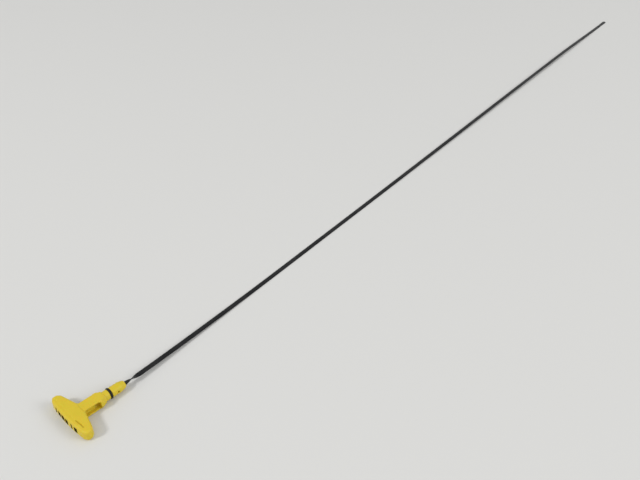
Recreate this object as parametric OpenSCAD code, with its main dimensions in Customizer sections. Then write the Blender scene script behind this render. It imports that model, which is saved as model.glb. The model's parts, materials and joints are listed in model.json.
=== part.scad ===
// Engine oil dipstick lying on a table.
// A moulded T-handle with a sealing plug holds a long steel blade with level holes.
// The handle's own axis is x, its crossbar runs along y, and x = 0 is the seat on the tube's mouth.
// The part's origin is the centre of that seat. The handle lies on its crossbar and its sealing ring.

/* [Crossbar] */
// Length of the crossbar, end to end
bar_length = 59; // [50:1:70]
// Height of the crossbar's grip
bar_height = 12; // [11.4:0.2:14]
// Depth of the crossbar at its middle, front face to back
bar_depth = 16.4; // [14:0.2:20]
// Depth of the crossbar at its ends
bar_end_depth = 8.6; // [8.4:0.2:11]
// How far the front face bulges at its middle
bar_crown = 2; // [0.5:0.1:3]
// How far each corner of the crossbar's ends is rounded off, seen from above
bar_corner = 2.5; // [1:0.5:4]
// Radius of the crossbar's edges
bar_edge_r = 2.2; // [1.2:0.1:3]
// Thickness of the front plate, which is a little lower than the grip behind it
plate_t = 8; // [6:0.2:9]
// Step between the front plate and the grip
plate_step = 0.3; // [0.2:0.1:1]
// Length of the short groove along the front plate's top, on one side of the middle
slit_length = 12.5; // [8:0.5:15]
// Width of that groove
slit_w = 1.1; // [0.5:0.1:1.2]
// Depth of that groove
slit_deep = 1; // [0.4:0.1:1.2]
// Place of that groove, behind the front face
slit_back = 4.5; // [2.8:0.1:5]
// Diameter of the shallow ejector mark near one end of the crossbar
eject_d = 2.6; // [2:0.1:3]

/* [Marks on the front plate] */
// Height of the sunk bars
mark_h = 5.8; // [3:0.1:6.2]
// Width of a wide bar
mark_w = 4.4; // [3:0.1:5]
// Width of the narrow bar that each group starts with
mark_narrow_w = 1.8; // [1.2:0.1:2.4]
// Spacing of the sunk bars
mark_pitch = 6.2; // [5.6:0.1:6.8]
// Depth of the sunk bars
mark_deep = 0.3; // [0.2:0.05:0.5]
// Extra space between the two groups
mark_group_gap = 1.6; // [0:0.2:3]
// How far the row of bars is moved along the crossbar from its middle
mark_shift = 2.9; // [0:0.1:5]
// How far the row of bars is below the middle of the front face
mark_drop = 0.4; // [0:0.1:0.5]
// Bars in the first group
mark_first = 4; // [2:1:4]
// Bars in the second group
mark_second = 2; // [1:1:2]

/* [Stem] */
// Length of the stem between crossbar and collar
stem_length = 14.3; // [12:0.1:22]
// Width of the stem's flanges
stem_w = 11.4; // [9:0.2:12]
// Height of the stem
stem_h = 10.6; // [9:0.2:10.6]
// Thickness of each flange
flange_t = 1.5; // [1.4:0.1:1.8]
// Thickness of the web between the flanges
web_t = 3.4; // [2.8:0.2:4.4]
// Radius where the stem runs into the crossbar
root_r = 1.6; // [1:0.2:4]

/* [Collar and plug] */
// Diameter of the collar
collar_d = 15.6; // [14:0.2:17]
// Height of the collar between its flats
collar_h = 10.8; // [10:0.2:11.4]
// Length of the collar, stem to seat
collar_length = 8.2; // [7.6:0.2:11]
// Diameter of the seat that meets the tube's mouth
seat_d = 12.4; // [12:0.2:13]
// Diameter of the plug inside the tube
plug_d = 10.1; // [9.6:0.1:10.4]
// Length of the plug, seat to nose
plug_length = 23.6; // [22:0.2:28]
// Length of the tapered nose
nose_length = 5.4; // [4:0.2:7]
// Diameter of the nose's end
nose_d = 7.4; // [6.8:0.2:8.4]
// Place of the sealing ring, from the seat
ring_x = 6.7; // [5:0.1:8]
// Thickness of the sealing ring
ring_t = 2.2; // [1.8:0.1:2.4]
// Outer diameter of the sealing ring
ring_d = 11.5; // [11.3:0.1:11.9]
// Clearance at each side of the sealing ring in its groove
ring_gap = 0.15; // [0.1:0.05:0.3]
// Diameter of the holes that held the blade in the mould
pin_hole_d = 2.2; // [1.4:0.1:2.4]
// Place of those holes, back from the end of the nose
pin_hole_back = 9.5; // [8:0.5:12]

/* [Blade] */
// Length of the blade beyond the handle
blade_length = 1160; // [600:10:1300]
// Width of the blade
blade_w = 5; // [4:0.1:6]
// Thickness of the blade
blade_t = 0.8; // [0.6:0.05:1]
// Length of the tang inside the handle
tang_length = 42; // [38:1:44]
// Diameter of the moulded peg through the tang
peg_d = 2.4; // [1.8:0.1:2.8]
// Length over which the blade twists from upright to flat
twist_length = 18; // [12:1:30]
// Length of the narrow neck before the tip
neck_length = 6; // [5:1:10]
// Width of the neck
neck_w = 3.6; // [2.6:0.1:4]
// Length of the rounded tip
tip_length = 19; // [10:1:24]
// Diameter of the two level holes
level_hole_d = 2; // [1.4:0.1:2.4]
// Distance between the level holes
level_gap = 24; // [18:1:34]

/* [How it lies] */
// Turn of the handle to the side, against the blade, degrees
lie_turn = 5; // [0:0.5:8]
// Angle by which the blade's first stretch leans past flat, degrees
lean_angle = 4; // [0:1:12]
// Height of the long bow in the blade
bow_h = 2.8; // [0:0.2:6]

/* [Hidden] */
$fn = 72;
BALL_FN = 24;
cut = 0.1;

// Crossbar: how much of its rounded corners the outermost edge has, and how much shorter the grip is
corner_share = 0.6;
grip_inset = 0.4;

// Handle, from the seat backwards
stem_front = -collar_length;
stem_back = stem_front - stem_length;
bar_back = stem_back;
bar_front = bar_back - bar_depth;
half_bar = bar_length / 2;
root_half = stem_w / 2 + root_r;
crown_r = (half_bar * half_bar + bar_crown * bar_crown) / (2 * bar_crown);
channel_h = stem_h - 2 * flange_t;

// Collar: its rear edge, its widest stretch and the narrow rim at the seat
collar_edge = 1;
collar_rim = 3.6;
seat_rim = 1.6;
seat_edge = 0.4;
nose_edge = 0.6;

// Channels at both sides of the stem's web: they run into the crossbar's root and the collar's rear,
// and end in a deeper pocket
channel_into_bar = 3;
channel_into_collar = 2;
channel_end = stem_front + channel_into_collar;
channel_mouth = collar_d / 2 + cut;
pocket_length = 4.5;
pocket_deep = 0.7;
pocket_rim = 0.6;
pocket_reach = root_half - web_t / 2;

// Plug and ring
ring_squeeze = 0.1 * ring_t;
groove_d = ring_d - 2 * ring_t + 2 * ring_squeeze;
groove_w = ring_t + 2 * ring_gap;
ring_mid_d = ring_d - ring_t;

// How the handle lies: nose down until the ring meets the table, with the crossbar's lower back edge on it
rest_span = ring_x - bar_back + bar_edge_r;
lie_tilt = asin(max(0, bar_height - ring_d) / 2 / rest_span);
bar_drop = bar_edge_r + (bar_height / 2 - bar_edge_r) * cos(lie_tilt)
    + (bar_back - bar_edge_r) * sin(lie_tilt);
ring_drop = ring_t / 2 + ring_mid_d / 2 * cos(lie_tilt) + ring_x * sin(lie_tilt);
drop = max(bar_drop, ring_drop);

// Front face of the crossbar at a place y along it, and its turn there
function front_x(y) = bar_front + crown_r - sqrt(crown_r * crown_r - y * y);
function front_turn(y) = -asin(y / crown_r);
// Back face of the grip at a place y along it
function back_x(y) = bar_back - (bar_depth - bar_crown - bar_end_depth)
    * max(0, abs(y) - root_half) / (half_bar - root_half);

// Smooth step from 0 to 1
function ease(t) = let (c = min(1, max(0, t))) c * c * (3 - 2 * c);

// Handle axis and its two sides, as it lies
axis_dir = [cos(lie_tilt) * cos(lie_turn), -cos(lie_tilt) * sin(lie_turn), -sin(lie_tilt)];
side_dir = [sin(lie_turn), cos(lie_turn), 0];
up_dir = cross(axis_dir, side_dir);
exit_point = plug_length * axis_dir;

// Blade beyond the handle: distances along x from the exit
rest_z = blade_t / 2 - drop;
exit_drop = exit_point.z - rest_z;
settle_power = 2;
swing_length = 1.5 * twist_length;
swing_power = 2;
swing_y = swing_length / swing_power * tan(lie_turn);
lean_length = 210;
settle_length = twist_length + lean_length;
bow_start = 0.27 * blade_length;
bow_peak = 0.83 * blade_length;
bow_end = blade_length - tip_length;

function blade_y(u) = exit_point.y - swing_y * (1 - pow(1 - min(1, u / swing_length), swing_power));
function bow_rise(u) = ease((u - bow_start) / (bow_peak - bow_start));
function bow_fall(u) = ease((u - bow_peak) / (bow_end - bow_peak));
function blade_z(u) = rest_z + exit_drop * pow(1 - min(1, u / settle_length), settle_power)
    + bow_h * bow_rise(u) * (1 - bow_fall(u));
function blade_point(u) = [exit_point.x + u, blade_y(u), blade_z(u)];
// Turn of the blade's width from upright to flat, with the lean past flat that dies out
function blade_turn(u) = 90 - (90 + lean_angle) * ease(u / twist_length)
    + lean_angle * ease((u - twist_length) / lean_length);

// Width of the blade at a distance u from the exit: full, neck, then rounded tip
tip_start = blade_length - tip_length;
neck_start = tip_start - neck_length;
neck_blend = neck_length / 3;
tip_r = blade_w / 2;
tip_flat = 0.1;
function tip_round(u) = let (d = u - (blade_length - tip_r))
    d <= 0 ? blade_w : 2 * sqrt(max(tip_flat * tip_flat, tip_r * tip_r - d * d));
function blade_width(u) = min(tip_round(u), blade_w - (blade_w - neck_w)
    * ease((u - neck_start) / neck_blend) * (1 - ease((u - tip_start + neck_blend) / neck_blend)));

// Stations along the blade: close in the twist and at the tip, wider between
function spread(from, to, count) = [for (i = [1 : count]) from + i / count * (to - from)];
twist_steps = 24;
lean_steps = 16;
strip_steps = 40;
neck_steps = 12;
tip_steps = 14;
stations = concat(
    [0],
    spread(0, twist_length, twist_steps),
    spread(twist_length, settle_length, lean_steps),
    spread(settle_length, neck_start, strip_steps),
    spread(neck_start, blade_length - tip_r, neck_steps),
    [for (i = [1 : tip_steps]) blade_length - tip_r + tip_r * sin(90 * i / tip_steps)]
);

// Corner points of the strip at a centre, for its width and thickness directions
function ring_points(centre, wide, thick, w) = [
    for (c = [[-1, -1], [1, -1], [1, 1], [-1, 1]])
        centre + c.x * w / 2 * wide + c.y * blade_t / 2 * thick
];
heading_step = 0.05;
function unit(v) = v / norm(v);
function blade_heading(u) = unit(blade_point(u + heading_step) - blade_point(u - heading_step));
function blade_ring(u) =
    let (
        ahead = u == 0 ? axis_dir : blade_heading(u),
        level = cross([0, 0, 1], ahead),
        across = -level / norm(level),
        lift = cross(ahead, -across),
        wide = cos(blade_turn(u)) * across + sin(blade_turn(u)) * lift,
        thick = cross(ahead, wide)
    )
    ring_points(blade_point(u), wide, thick, blade_width(u));

// Puts a piece drawn along the handle's axis where the handle lies
module as_it_lies() {
    rotate([0, 0, -lie_turn]) rotate([0, lie_tilt, 0]) children();
}

// A slab with rounded edges, hulled round balls at the given places
module soft_slab(places, height, edge_r) {
    hull()
        for (p = places, side = [-1, 1])
            translate([p.x, p.y, side * (height / 2 - edge_r)]) sphere(r = edge_r, $fn = BALL_FN);
}

// Places of the balls in the front plate, from one end of the crossbar to the other
inner_half = half_bar - bar_edge_r;
corner_half = inner_half - bar_corner;
plate_back = bar_front + plate_t - bar_edge_r;
end_set_back = bar_corner * corner_share;
end_front = front_x(corner_half) + bar_edge_r + end_set_back;

module front_plate() {
    soft_slab([
        for (y = [-1, -0.5, 0, 0.5, 1] * corner_half) each [[front_x(y) + bar_edge_r, y], [plate_back, y]],
        for (y = [-1, 1] * inner_half) each [[end_front, y], [plate_back, y]]
    ], bar_height - 2 * plate_step, bar_edge_r);
}

// Grip behind the front plate: deepest at the stem, thinner towards its rounded ends
module grip() {
    soft_slab([
        for (y = [-1, 1] * (inner_half - grip_inset))
            each [[plate_back, y], [max(plate_back, back_x(y) - bar_edge_r - end_set_back), y]],
        for (y = [-1, 1] * corner_half) [back_x(y) - bar_edge_r, y],
        for (y = [-1, 1] * root_half) each [[bar_back - bar_edge_r, y], [plate_back, y]]
    ], bar_height, bar_edge_r);
}

// Sunk bars across the front plate, in two groups
mark_count = mark_first + mark_second;
mark_reach = 2;
function mark_y(i) = mark_shift + ((mark_count - 1) / 2 - i) * mark_pitch
    - (i < mark_first ? 0 : mark_group_gap);
module front_marks() {
    for (i = [0 : mark_count - 1])
        let (y = mark_y(i), w = i == 0 || i == mark_first ? mark_narrow_w : mark_w)
            translate([front_x(y), y, -mark_drop])
                rotate([0, 0, front_turn(y)])
                    translate([-mark_reach, -w / 2, -mark_h / 2])
                        cube([mark_reach + mark_deep, w, mark_h]);
}

// Short groove along the front plate's top
slit_start = 9.6;
plate_top = bar_height / 2 - plate_step;
module plate_slit() {
    y = -slit_start - slit_length / 2;
    translate([front_x(y) + slit_back, y, plate_top - slit_deep])
        rotate([0, 0, front_turn(y)])
            translate([-slit_w / 2, -slit_length / 2, 0])
                cube([slit_w, slit_length, slit_deep + plate_step + cut]);
}

// Shallow round mark of an ejector pin on the front plate's top
eject_from_end = 7;
eject_back = 4;
eject_deep = 0.3;
module eject_mark() {
    y = half_bar - eject_from_end;
    translate([front_x(y) + eject_back, y, plate_top - eject_deep])
        cylinder(d = eject_d, h = eject_deep + cut);
}

// Stem of I-section with rounded roots at the crossbar
module stem() {
    translate([stem_back - cut, -stem_w / 2, -stem_h / 2])
        cube([stem_length + 2 * cut, stem_w, stem_h]);
    for (side = [-1, 1])
        mirror([0, side < 0 ? 1 : 0, 0])
            translate([stem_back - root_r, stem_w / 2 - cut, -stem_h / 2])
                linear_extrude(stem_h)
                    difference() {
                        square([2 * root_r, root_r + cut]);
                        translate([2 * root_r, root_r + cut]) circle(r = root_r);
                    }
}

module stem_channels() {
    for (side = [-1, 1])
        mirror([0, side < 0 ? 1 : 0, 0]) {
            translate([0, 0, -channel_h / 2])
                linear_extrude(channel_h)
                    polygon([
                        [stem_back - channel_into_bar, web_t / 2],
                        [channel_end, web_t / 2],
                        [channel_end, channel_mouth],
                        [stem_front, channel_mouth],
                        [stem_front, root_half],
                        [stem_back - channel_into_bar, root_half]
                    ]);
            translate([channel_end - pocket_length, web_t / 2 - pocket_deep, pocket_rim - channel_h / 2])
                cube([pocket_length, pocket_reach, channel_h - 2 * pocket_rim]);
        }
}

// Collar with a flat above and below, so that it clears the table
module collar() {
    intersection() {
        rotate([0, 90, 0])
            rotate_extrude()
                polygon([
                    [0, stem_front],
                    [collar_d / 2 - collar_edge, stem_front],
                    [collar_d / 2, stem_front + collar_edge],
                    [collar_d / 2, stem_front + collar_rim],
                    [seat_d / 2 + seat_edge, -seat_rim],
                    [seat_d / 2, seat_edge - seat_rim],
                    [seat_d / 2, 0],
                    [0, 0]
                ]);
        translate([stem_front - cut, -collar_d, -collar_h / 2])
            cube([collar_length + 2 * cut, 2 * collar_d, collar_h]);
    }
}

// Plug and nose, turned about the handle's axis
module plug() {
    rotate([0, 90, 0])
        rotate_extrude()
            polygon([
                [0, stem_front],
                [plug_d / 2, stem_front],
                [plug_d / 2, ring_x - groove_w / 2],
                [groove_d / 2, ring_x - groove_w / 2],
                [groove_d / 2, ring_x + groove_w / 2],
                [plug_d / 2, ring_x + groove_w / 2],
                [plug_d / 2, plug_length - nose_length],
                [nose_d / 2, plug_length - nose_edge],
                [nose_d / 2 - nose_edge, plug_length],
                [0, plug_length]
            ]);
}

// Space that the tang fills, with the moulded peg left standing in it
module tang_slot() {
    difference() {
        translate([plug_length - tang_length, -blade_t / 2, -blade_w / 2])
            cube([tang_length + cut, blade_t, blade_w]);
        peg();
    }
}

peg_inset = 4;
peg_x = plug_length - tang_length + peg_inset;
module peg() {
    translate([peg_x, 0, 0]) rotate([90, 0, 0]) cylinder(d = peg_d, h = web_t, center = true);
}

module handle() {
    color([0.85, 0.74, 0.16])
        as_it_lies()
            difference() {
                union() {
                    front_plate();
                    grip();
                    stem();
                    collar();
                    plug();
                }
                front_marks();
                plate_slit();
                eject_mark();
                stem_channels();
                tang_slot();
                translate([plug_length - pin_hole_back, 0, 0])
                    rotate([90, 0, 0]) cylinder(d = pin_hole_d, h = 2 * plug_d, center = true);
            }
}

// Sealing ring, pressed flat where it grips the bottom of its groove
module o_ring() {
    color([0.05, 0.05, 0.05])
        as_it_lies()
            translate([ring_x, 0, 0])
                rotate([0, 90, 0])
                    rotate_extrude()
                        intersection() {
                            translate([ring_mid_d / 2, 0]) circle(d = ring_t);
                            translate([groove_d / 2, -ring_t]) square([ring_t, 2 * ring_t]);
                        }
}

// Blade: upright tang, quarter twist, long strip, narrow neck and rounded tip
module blade_strip() {
    tang_end = exit_point - tang_length * axis_dir;
    rings = concat([ring_points(tang_end, up_dir, cross(axis_dir, up_dir), blade_w)],
        [for (u = stations) blade_ring(u)]);
    last = len(rings) - 1;
    polyhedron(
        points = [for (r = rings) each r],
        faces = concat(
            [[0, 1, 2, 3]],
            [for (k = [0 : last - 1], i = [0 : 3])
                let (j = (i + 1) % 4)
                each [[4 * k + 4 + j, 4 * k + j, 4 * k + i], [4 * k + 4 + i, 4 * k + 4 + j, 4 * k + i]]],
            [[4 * last + 3, 4 * last + 2, 4 * last + 1, 4 * last]]
        )
    );
}

hole_inset = 6;
first_hole = neck_start - hole_inset;
module blade() {
    color([0.17, 0.17, 0.18])
        difference() {
            blade_strip();
            as_it_lies() peg();
            for (u = [first_hole, first_hole - level_gap])
                translate(blade_point(u)) cylinder(d = level_hole_d, h = 4 * blade_t, center = true);
        }
}

handle();
o_ring();
blade();
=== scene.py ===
import json
import math

import bpy
from mathutils import Matrix, Vector


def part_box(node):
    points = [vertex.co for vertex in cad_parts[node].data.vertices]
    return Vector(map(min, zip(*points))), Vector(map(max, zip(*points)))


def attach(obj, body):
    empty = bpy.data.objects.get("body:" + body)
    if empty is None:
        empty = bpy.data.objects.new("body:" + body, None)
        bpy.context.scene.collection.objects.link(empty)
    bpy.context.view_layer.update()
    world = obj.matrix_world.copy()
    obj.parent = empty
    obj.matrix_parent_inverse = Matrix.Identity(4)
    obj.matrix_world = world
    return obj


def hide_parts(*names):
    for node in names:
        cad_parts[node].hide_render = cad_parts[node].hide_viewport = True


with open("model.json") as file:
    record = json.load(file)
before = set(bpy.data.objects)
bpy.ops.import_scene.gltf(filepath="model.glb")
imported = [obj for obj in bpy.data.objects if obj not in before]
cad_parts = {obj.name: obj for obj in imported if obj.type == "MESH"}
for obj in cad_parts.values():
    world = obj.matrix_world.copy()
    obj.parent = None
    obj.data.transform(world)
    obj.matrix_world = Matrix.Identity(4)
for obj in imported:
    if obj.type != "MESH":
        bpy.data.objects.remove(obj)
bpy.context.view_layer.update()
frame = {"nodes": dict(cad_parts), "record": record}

MM = 0.001

# Sizes repeated from the part's source, in metres
BAR_DEPTH = 16.4 * MM
BAR_LENGTH = 59 * MM
BAR_CROWN = 2 * MM
BAR_BACK = -22.5 * MM
MARK_HEIGHT = 5.8 * MM
MARK_WIDTH = 4.4 * MM
MARK_NARROW = 1.8 * MM
MARK_PITCH = 6.2 * MM
MARK_GROUP_GAP = 1.6 * MM
MARK_SHIFT = 2.9 * MM
MARK_DROP = 0.4 * MM
MARKS_FIRST = 4
MARKS_SECOND = 2
BLADE_LENGTH = 1160 * MM
PLUG_LENGTH = 23.6 * MM
LEVEL_GAP = 24 * MM
HOLE_FROM_TIP = 31 * MM

# Sizes of the finish
MERGE_DISTANCE = 0.002 * MM
HANDLE_VOXEL = 0.27 * MM
BLADE_EDGE = 0.2 * MM
INK_THICK = 0.5 * MM
INK_PROUD = 0.03 * MM
INK_GAP = 0.1 * MM
INK_EDGE = 0.12 * MM
HATCH_PITCH = 1.1 * MM
HATCH_MARGIN = 2 * MM

# Stage
TABLE_SIZE = 12
TABLE_MIDDLE_X = 0.4
ROOM_LIGHT = 0.605

# The camera stands where the photograph's did, looking along the blade from behind the handle
CAMERA_PLACE = Vector((-241.2, -451.8, 549.84)) * MM
CAMERA_LOOK = Vector((0.61751, 0.49393, -0.61215))
CAMERA_LENS = 42.76
CAMERA_SENSOR = 36.0

# The handle's own axes, as it lies: along it, across it and up from it
along = Vector(next(m["axis"] for m in frame["record"]["mounts"] if m["name"] == "tube_seat")).normalized()
across = Vector((0, 0, 1)).cross(along).normalized()
upward = along.cross(across)
handle_turn = Matrix((along, across, upward)).transposed().to_4x4()

# The table is level with the lowest point of the object
TABLE_Z = min(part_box(node)[0][2] for node in frame["nodes"])


# Small helpers for operators and nodes
def select_only(obj):
    bpy.ops.object.select_all(action="DESELECT")
    obj.select_set(True)
    bpy.context.view_layer.objects.active = obj


def apply_modifiers(obj):
    select_only(obj)
    for modifier in list(obj.modifiers):
        bpy.ops.object.modifier_apply(modifier=modifier.name)


def merged_copy(node, name):
    """A copy of a CAD node, with its loose triangles joined into one skin."""
    source = frame["nodes"][node]
    piece = bpy.data.objects.new(name, source.data.copy())
    bpy.context.scene.collection.objects.link(piece)
    piece.matrix_world = Matrix.Identity(4)
    piece.data.materials.clear()
    select_only(piece)
    bpy.ops.object.mode_set(mode="EDIT")
    bpy.ops.mesh.select_all(action="SELECT")
    bpy.ops.mesh.remove_doubles(threshold=MERGE_DISTANCE)
    bpy.ops.mesh.normals_make_consistent(inside=False)
    bpy.ops.object.mode_set(mode="OBJECT")
    return piece


class Nodes:
    """Short way to write a material's nodes."""

    def __init__(self, name):
        self.material = bpy.data.materials.new(name)
        self.material.use_nodes = True
        self.tree = self.material.node_tree
        self.shader = self.tree.nodes["Principled BSDF"]

    def add(self, kind, inputs=None, **settings):
        node = self.tree.nodes.new(kind)
        for key, value in settings.items():
            setattr(node, key, value)
        for key, value in (inputs or {}).items():
            self.put(value, node.inputs[key])
        return node

    def put(self, value, socket):
        if isinstance(value, bpy.types.NodeSocket):
            self.tree.links.new(value, socket)
        else:
            socket.default_value = value

    def place(self):
        return self.add("ShaderNodeTexCoord").outputs["Object"]

    def noise(self, scale, detail=2.0, place=None):
        inputs = {"Vector": place or self.place(), "Scale": scale, "Detail": detail, "Roughness": 0.5}
        return self.add("ShaderNodeTexNoise", inputs).outputs["Fac"]

    def ramp(self, value, low, high, out_low=0.0, out_high=1.0):
        inputs = {"Value": value, "From Min": low, "From Max": high, "To Min": out_low, "To Max": out_high}
        return self.add("ShaderNodeMapRange", inputs).outputs["Result"]

    def calc(self, operation, first, second=0.0):
        return self.add("ShaderNodeMath", {0: first, 1: second}, operation=operation).outputs["Value"]

    def mix(self, factor, first, second):
        """Colour between two colours, each given as red, green and blue or as a socket."""
        node = self.add("ShaderNodeMix", data_type="RGBA")
        self.put(factor, node.inputs["Factor"])
        for colour, socket in ((first, node.inputs[6]), (second, node.inputs[7])):
            self.put((*colour, 1) if isinstance(colour, tuple) else colour, socket)
        return node.outputs[2]

    def bump(self, height, distance, strength=1.0):
        inputs = {"Height": height, "Distance": distance, "Strength": strength}
        return self.add("ShaderNodeBump", inputs).outputs["Normal"]

    def finish(self, **inputs):
        for key, value in inputs.items():
            self.put(value, self.shader.inputs[key.replace("_", " ")])
        return self.material


# Materials
def yellow_nylon():
    """Satin moulded nylon: faint clouds in its colour, soft waves and a fine grain."""
    n = Nodes("yellow_nylon")
    cloud = n.ramp(n.noise(90.0, 3.0), 0.35, 0.65)
    grain = n.noise(5200.0)
    waves = n.noise(420.0)
    height = n.calc("ADD", n.calc("MULTIPLY", grain, 0.35), waves)
    return n.finish(
        Base_Color=n.mix(cloud, (0.70, 0.52, 0.027), (0.67, 0.515, 0.025)),
        Roughness=n.ramp(n.noise(700.0, 3.0), 0.3, 0.7, 0.40, 0.50),
        Specular_IOR_Level=0.36,
        Subsurface_Weight=0.12,
        Subsurface_Scale=1.2 * MM,
        Normal=n.bump(height, 0.035 * MM, 0.8),
    )


def black_rubber():
    """Black rubber, smoother where it is oily."""
    n = Nodes("black_rubber")
    height = n.noise(3000.0)
    oily = n.ramp(n.noise(600.0, 3.0), 0.4, 0.6)
    return n.finish(
        Base_Color=n.mix(oily, (0.009, 0.008, 0.007), (0.006, 0.005, 0.004)),
        Roughness=n.ramp(oily, 0.0, 1.0, 0.60, 0.48),
        Specular_IOR_Level=0.3,
        Normal=n.bump(height, 0.01 * MM),
    )


def mark_ink():
    """Dull dark fill of the marks, a little worn in places."""
    n = Nodes("mark_ink")
    worn = n.ramp(n.noise(900.0, 3.0), 0.4, 0.7)
    return n.finish(
        Base_Color=n.mix(worn, (0.016, 0.011, 0.003), (0.030, 0.021, 0.005)),
        Roughness=n.ramp(worn, 0.0, 1.0, 0.75, 0.85),
        Specular_IOR_Level=0.02,
        Normal=n.bump(n.noise(5200.0), 0.02 * MM),
    )


def dark_steel():
    """Oil-darkened strip steel: fine rolling lines along it, faint wear, a crosshatched level zone."""
    n = Nodes("dark_steel")
    place = n.place()
    apart = n.add("ShaderNodeSeparateXYZ", {"Vector": place})
    x, y = apart.outputs["X"], apart.outputs["Y"]
    stretched = n.add("ShaderNodeMapping", {"Vector": place, "Scale": (0.02, 1.0, 1.0)}).outputs["Vector"]
    rolled = n.noise(9000.0, 2.0, stretched)
    patches = n.ramp(n.noise(60.0, 4.0), 0.45, 0.75)
    colour = n.mix(patches, (0.014, 0.015, 0.016), (0.028, 0.028, 0.029))

    # The level zone lies between the two holes, with two sets of slanting scored lines
    second_hole = PLUG_LENGTH + BLADE_LENGTH - HOLE_FROM_TIP
    past_first = n.calc("GREATER_THAN", x, second_hole - LEVEL_GAP + HATCH_MARGIN)
    before_second = n.calc("LESS_THAN", x, second_hole - HATCH_MARGIN)
    inside = n.calc("MULTIPLY", past_first, before_second)
    line_scale = math.tau / HATCH_PITCH
    rising = n.calc("SINE", n.calc("MULTIPLY", n.calc("ADD", x, y), line_scale))
    falling = n.calc("SINE", n.calc("MULTIPLY", n.calc("SUBTRACT", x, y), line_scale))
    lines = n.ramp(n.calc("MAXIMUM", rising, falling), 0.75, 0.98)
    hatch = n.calc("MULTIPLY", lines, inside)
    height = n.calc("SUBTRACT", n.calc("MULTIPLY", rolled, 0.25), hatch)
    return n.finish(
        Base_Color=n.mix(hatch, colour, (0.07, 0.07, 0.07)),
        Metallic=0.55,
        Specular_IOR_Level=0.34,
        Roughness=n.ramp(rolled, 0.3, 0.7, 0.34, 0.46),
        Normal=n.bump(height, 0.04 * MM, 0.7),
    )


def table_top():
    n = Nodes("table_top")
    return n.finish(Base_Color=(0.70, 0.70, 0.685, 1), Roughness=0.8)


# Handle: the moulded shape, with the soft edges and faces of a moulding
def make_handle(material):
    piece = merged_copy("handle", "moulded_handle")
    remesh = piece.modifiers.new("skin", "REMESH")
    remesh.mode = "VOXEL"
    remesh.voxel_size = HANDLE_VOXEL
    soften = piece.modifiers.new("soften", "SMOOTH")
    soften.factor = 0.5
    soften.iterations = 3
    apply_modifiers(piece)
    bpy.ops.object.shade_smooth()
    piece.data.materials.append(material)
    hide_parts("handle")
    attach(piece, "root")


def front_face(y):
    """Front face of the crossbar at a place y along it, in the handle's own axes: its x and its turn."""
    half = BAR_LENGTH / 2
    crown_r = (half * half + BAR_CROWN * BAR_CROWN) / (2 * BAR_CROWN)
    return BAR_BACK - BAR_DEPTH + crown_r - math.sqrt(crown_r * crown_r - y * y), -math.asin(y / crown_r)


# Marks: plain dark bars in the sunk places of the front plate, in two groups that start with a narrow one
def make_marks(material):
    count = MARKS_FIRST + MARKS_SECOND
    for i in range(count):
        width = MARK_NARROW if i in (0, MARKS_FIRST) else MARK_WIDTH
        group_gap = 0 if i < MARKS_FIRST else MARK_GROUP_GAP
        y = MARK_SHIFT + ((count - 1) / 2 - i) * MARK_PITCH - group_gap
        x, turn = front_face(y)
        centre = (x + INK_THICK / 2 - INK_PROUD, y, -MARK_DROP)
        bpy.ops.mesh.primitive_cube_add(size=1, location=centre, rotation=(0, 0, turn))
        bar = bpy.context.object
        bar.name = f"front_mark_{i + 1}"
        bar.scale = (INK_THICK, width - INK_GAP, MARK_HEIGHT - INK_GAP)
        bpy.ops.object.transform_apply(location=True, rotation=True, scale=True)
        edge = bar.modifiers.new("edge", "BEVEL")
        edge.width = INK_EDGE
        edge.segments = 2
        apply_modifiers(bar)
        bar.data.transform(handle_turn)
        bar.data.materials.append(material)
        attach(bar, "root")


# Blade: the CAD strip with its rolled, slightly rounded edges
def make_blade(material):
    piece = merged_copy("blade", "steel_blade")
    edges = piece.modifiers.new("rolled_edges", "BEVEL")
    edges.width = BLADE_EDGE
    edges.segments = 3
    edges.limit_method = "ANGLE"
    edges.angle_limit = math.radians(50)
    apply_modifiers(piece)
    bpy.ops.object.shade_smooth_by_angle(angle=math.radians(35))
    piece.data.materials.append(material)
    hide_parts("blade")
    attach(piece, "root")


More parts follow.
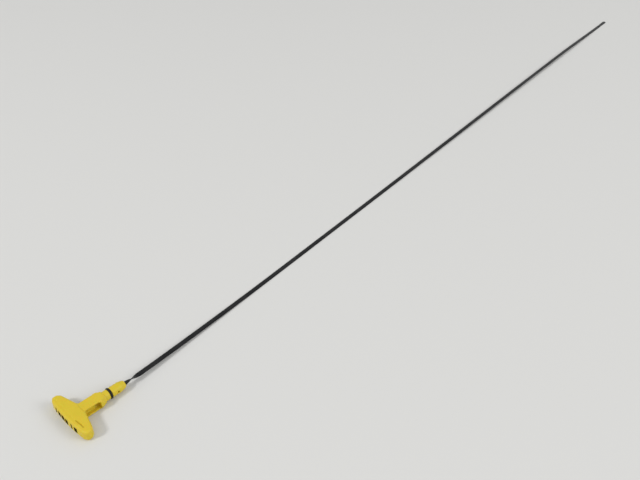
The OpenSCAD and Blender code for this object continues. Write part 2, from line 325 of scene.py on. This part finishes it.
# Sealing ring: the CAD node stays, with a better material
def repaint(node, material):
    obj = frame["nodes"][node]
    if not obj.material_slots:
        obj.data.materials.append(material)
    for place in obj.material_slots:
        place.material = material


# Table, lamps and camera
def make_table(material):
    bpy.ops.mesh.primitive_plane_add(size=TABLE_SIZE, location=(TABLE_MIDDLE_X, 0, TABLE_Z))
    table = bpy.context.object
    table.name = "table"
    table.data.materials.append(material)


def make_lamp(name, bearing, elevation, distance, size, power, colour=(1, 1, 1)):
    """A square lamp that looks at the handle. Bearing is the way to it, in degrees from +X to +Y."""
    a, e = math.radians(bearing), math.radians(elevation)
    way = Vector((math.cos(e) * math.cos(a), math.cos(e) * math.sin(a), math.sin(e)))
    data = bpy.data.lights.new(name, "AREA")
    data.size = size
    data.energy = power
    data.color = colour
    lamp = bpy.data.objects.new(name, data)
    lamp.location = way * distance
    lamp.rotation_euler = way.to_track_quat("Z", "Y").to_euler()
    bpy.context.scene.collection.objects.link(lamp)


def light_scene():
    world = bpy.data.worlds.new("room")
    world.use_nodes = True
    background = world.node_tree.nodes["Background"]
    background.inputs["Color"].default_value = (1.0, 1.0, 1.0, 1)
    background.inputs["Strength"].default_value = ROOM_LIGHT
    bpy.context.scene.world = world
    make_lamp("key_back", bearing=159, elevation=41, distance=4.5, size=0.7, power=77.0)
    make_lamp("fill_right", bearing=-62, elevation=31, distance=4.5, size=2.0, power=58.0)
    warm = (1, 0.75, 0.45)
    make_lamp("front_warm", bearing=205, elevation=25, distance=4.0, size=2.4, power=3.0, colour=warm)


def make_camera():
    data = bpy.data.cameras.new("camera")
    data.sensor_width = CAMERA_SENSOR
    data.lens = CAMERA_LENS
    camera = bpy.data.objects.new("camera", data)
    camera.location = CAMERA_PLACE
    camera.rotation_euler = CAMERA_LOOK.to_track_quat("-Z", "Y").to_euler()
    bpy.context.scene.collection.objects.link(camera)
    bpy.context.scene.camera = camera


make_handle(yellow_nylon())
make_marks(mark_ink())
make_blade(dark_steel())
repaint("o_ring", black_rubber())
make_table(table_top())
light_scene()
make_camera()
bpy.context.scene.view_settings.view_transform = "Standard"
